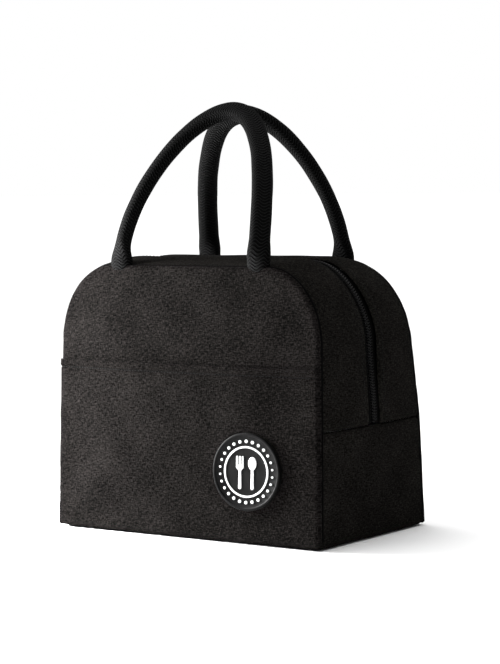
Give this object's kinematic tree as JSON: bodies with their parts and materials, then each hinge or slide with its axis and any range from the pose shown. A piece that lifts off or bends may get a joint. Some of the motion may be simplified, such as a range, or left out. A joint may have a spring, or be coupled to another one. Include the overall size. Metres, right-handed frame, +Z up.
{
  "type": "insulated lunch bag",
  "caption": "Soft insulated lunch bag with a zip over the top, a slip pocket with a round rubber badge, and two padded rope handles.",
  "frame": {"origin": "centre of the flat bottom, on the surface the bag stands on", "axes": "+Z up, -Y out of the front with the pocket and the badge, +X to the right seen from the front"},
  "size_m": [0.2373, 0.1462, 0.3086],
  "materials": {
    "body_fabric": "matte",
    "foam": "matte",
    "foil_lining": "satin",
    "binding_tape": "matte",
    "zip_tape": "matte",
    "zip_coil": "satin",
    "slider_metal": "satin",
    "webbing": "matte",
    "handle_cord": "matte",
    "badge_rubber": "satin",
    "badge_print": "satin"
  },
  "bodies": {
    "base": {"back_foam_lower": "foam", "back_lining_lower": "foil_lining", "back_panel_lower": "body_fabric", "badge_disc": "badge_rubber", "badge_fork": "badge_print", "badge_ring": "badge_print", "badge_spoon": "badge_print", "base_band": "body_fabric", "base_band_foam": "foam", "base_band_lining": "foil_lining", "binding_back_lower": "binding_tape", "binding_front_lower": "binding_tape", "front_foam_lower": "foam", "front_lining_lower": "foil_lining", "front_panel_lower": "body_fabric", "pocket_lower": "body_fabric"},
    "mouth_front": {"binding_front_upper": "binding_tape", "front_foam_upper": "foam", "front_lining_upper": "foil_lining", "front_panel_upper": "body_fabric", "gusset_front": "body_fabric", "gusset_front_foam": "foam", "gusset_front_lining": "foil_lining", "handle_front_end_left": "webbing", "handle_front_end_right": "webbing", "pocket_upper": "body_fabric", "zip_coil_front": "zip_coil", "zip_tape_front": "zip_tape"},
    "mouth_back": {"back_foam_upper": "foam", "back_lining_upper": "foil_lining", "back_panel_upper": "body_fabric", "binding_back_upper": "binding_tape", "gusset_back": "body_fabric", "gusset_back_foam": "foam", "gusset_back_lining": "foil_lining", "handle_back_end_left": "webbing", "handle_back_end_right": "webbing", "zip_coil_back": "zip_coil", "zip_tape_back": "zip_tape"},
    "handle_front_arch": {"handle_front_cord": "handle_cord", "handle_front_cover": "webbing"},
    "handle_back_arch": {"handle_back_cord": "handle_cord", "handle_back_cover": "webbing"},
    "slider": {"zip_slider": "slider_metal"},
    "pull": {"zip_pull": "slider_metal"}
  },
  "joints": [
    {"name": "mouth_front_fold", "type": "hinge", "parent": "base", "child": "mouth_front", "pos_m": [0, -0.07, 0.08], "axis": [1, 0, 0], "range_deg": [0, 30]},
    {"name": "mouth_back_fold", "type": "hinge", "parent": "base", "child": "mouth_back", "pos_m": [0, 0.0671, 0.08], "axis": [-1, 0, 0], "range_deg": [0, 30]},
    {"name": "handle_front_swing", "type": "hinge", "parent": "mouth_front", "child": "handle_front_arch", "pos_m": [0, -0.0643, 0.1987], "axis": [1, 0, 0], "range_deg": [0, 135]},
    {"name": "handle_back_swing", "type": "hinge", "parent": "mouth_back", "child": "handle_back_arch", "pos_m": [0, 0.0473, 0.1987], "axis": [-1, 0, 0], "range_deg": [0, 135]},
    {"name": "zip_slide", "type": "slide", "parent": "mouth_back", "child": "slider", "axis": [0.0147, 0, 0.9999], "range_m": [0, 0.043]},
    {"name": "pull_swing", "type": "hinge", "parent": "slider", "child": "pull", "pos_m": [-0.11865, 0, 0.09204], "axis": [0, 1, 0], "range_deg": [0, 170]}
  ]
}
